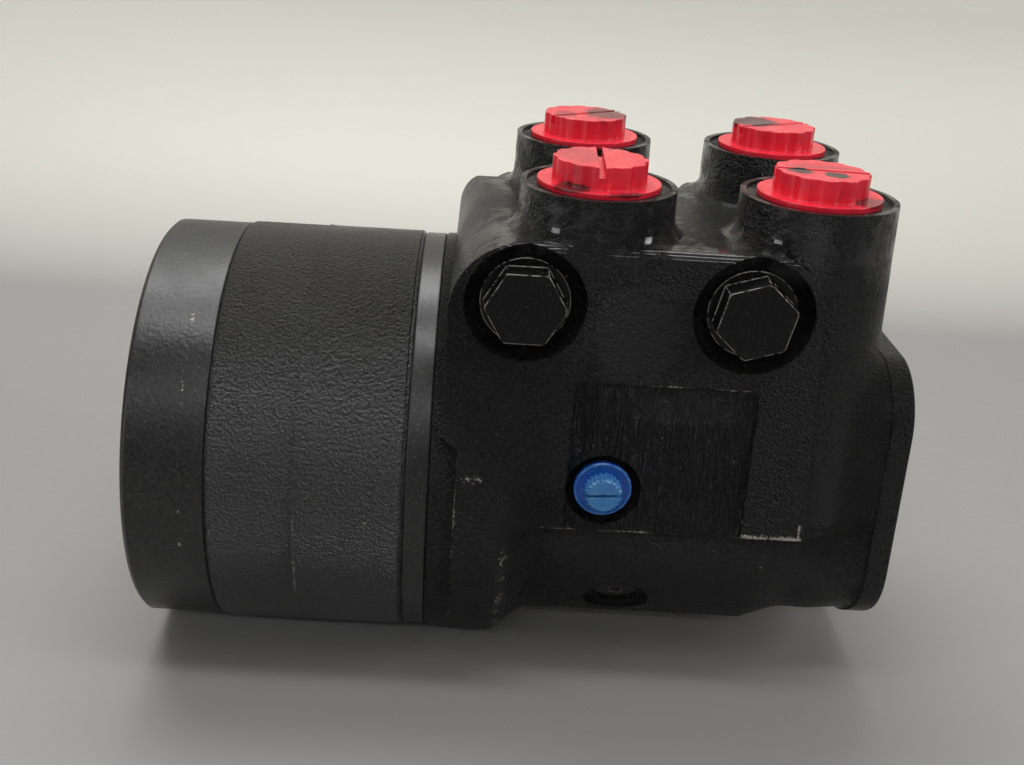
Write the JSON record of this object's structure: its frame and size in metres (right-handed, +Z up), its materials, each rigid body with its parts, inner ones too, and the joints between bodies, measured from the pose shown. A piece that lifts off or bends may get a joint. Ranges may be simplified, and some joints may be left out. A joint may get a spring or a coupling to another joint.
{
  "type": "orbital steering unit",
  "caption": "Hydrostatic steering unit: round gear set bolted behind a cast valve housing with capped ports, a splined input socket and a column flange",
  "frame": {"origin": "centre of the column flange's outer face, on the steering axis", "axes": "+X out of the column flange along the steering axis, +Z up out of the four ports, -Y out of the front face with the sensing port and the two hex plugs"},
  "size_m": [0.2275, 0.1278, 0.1636],
  "materials": {
    "cast_paint": "satin black paint over a fine cast texture",
    "machined_paint": "satin black paint over a turned face",
    "ring_paint": "satin black paint over a coarse cast texture",
    "cover_paint": "satin black paint, light orange peel",
    "screw_paint": "satin black paint",
    "plug_paint": "satin black paint with worn bright edges",
    "cord_rubber": "matte",
    "seal_rubber": "matte",
    "gear_steel": "ground",
    "shaft_steel": "oiled",
    "valve_steel": "ground and oiled",
    "pin_steel": "ground",
    "spring_steel": "oiled",
    "cap_red": "gloss moulded plastic",
    "cap_blue": "gloss moulded plastic"
  },
  "bodies": {
    "case": {"housing": "cast_paint", "distributor_plate": "machined_paint", "gear_ring": "ring_paint", "cord_housing": "cord_rubber", "cord_plate": "cord_rubber", "cord_cover": "cord_rubber", "end_cover": "cover_paint", "cover_screws": "screw_paint", "bearing_race_outer": "pin_steel", "shaft_seal": "cord_rubber", "dust_seal": "seal_rubber", "front_plug_a": "plug_paint", "front_plug_b": "plug_paint", "port_cap_a": "cap_red", "port_cap_b": "cap_red", "port_cap_c": "cap_red", "port_cap_d": "cap_red", "sensing_cap": "cap_blue", "side_plug": "plug_paint"},
    "valve_sleeve": {"sleeve": "valve_steel", "cross_pin": "pin_steel", "centring_springs": "spring_steel", "spring_ring": "spring_steel"},
    "spool": {"spool": "valve_steel", "bearing_race_inner": "pin_steel"},
    "shaft_stop": {"shaft_stop": "gear_steel"},
    "rotor": {"rotor": "gear_steel"},
    "drive_shaft": {"drive_shaft": "shaft_steel"},
    "bearing_cage": {"bearing_cage": "spring_steel", "bearing_needles": "pin_steel"}
  },
  "joints": [
    {"name": "sleeve_turn", "type": "hinge", "parent": "case", "child": "valve_sleeve", "pos_m": [0, 0, 0], "axis": [1, 0, 0], "continuous": true},
    {"name": "spool_deflect", "type": "hinge", "parent": "valve_sleeve", "child": "spool", "pos_m": [0, 0, 0], "axis": [1, 0, 0], "range_deg": [-10, 10], "stiffness_Nm_per_rad": 6},
    {"name": "stop_orbit", "type": "hinge", "parent": "case", "child": "shaft_stop", "pos_m": [0, 0, 0], "axis": [1, 0, 0], "continuous": true},
    {"name": "rotor_spin", "type": "hinge", "parent": "shaft_stop", "child": "rotor", "pos_m": [-0.175, 0, -0.004], "axis": [1, 0, 0], "continuous": true},
    {"name": "shaft_spin", "type": "hinge", "parent": "shaft_stop", "child": "drive_shaft", "pos_m": [-0.052, 0, 0], "axis": [0.9995, 0, 0.0301], "continuous": true},
    {"name": "bearing_turn", "type": "hinge", "parent": "case", "child": "bearing_cage", "pos_m": [0, 0, 0], "axis": [1, 0, 0], "continuous": true}
  ],
  "couplings": [
    {"joint": "stop_orbit", "follows": "sleeve_turn", "ratio": -6},
    {"joint": "rotor_spin", "follows": "sleeve_turn", "ratio": 7},
    {"joint": "shaft_spin", "follows": "sleeve_turn", "ratio": 7},
    {"joint": "bearing_turn", "follows": "sleeve_turn", "ratio": 0.5}
  ]
}
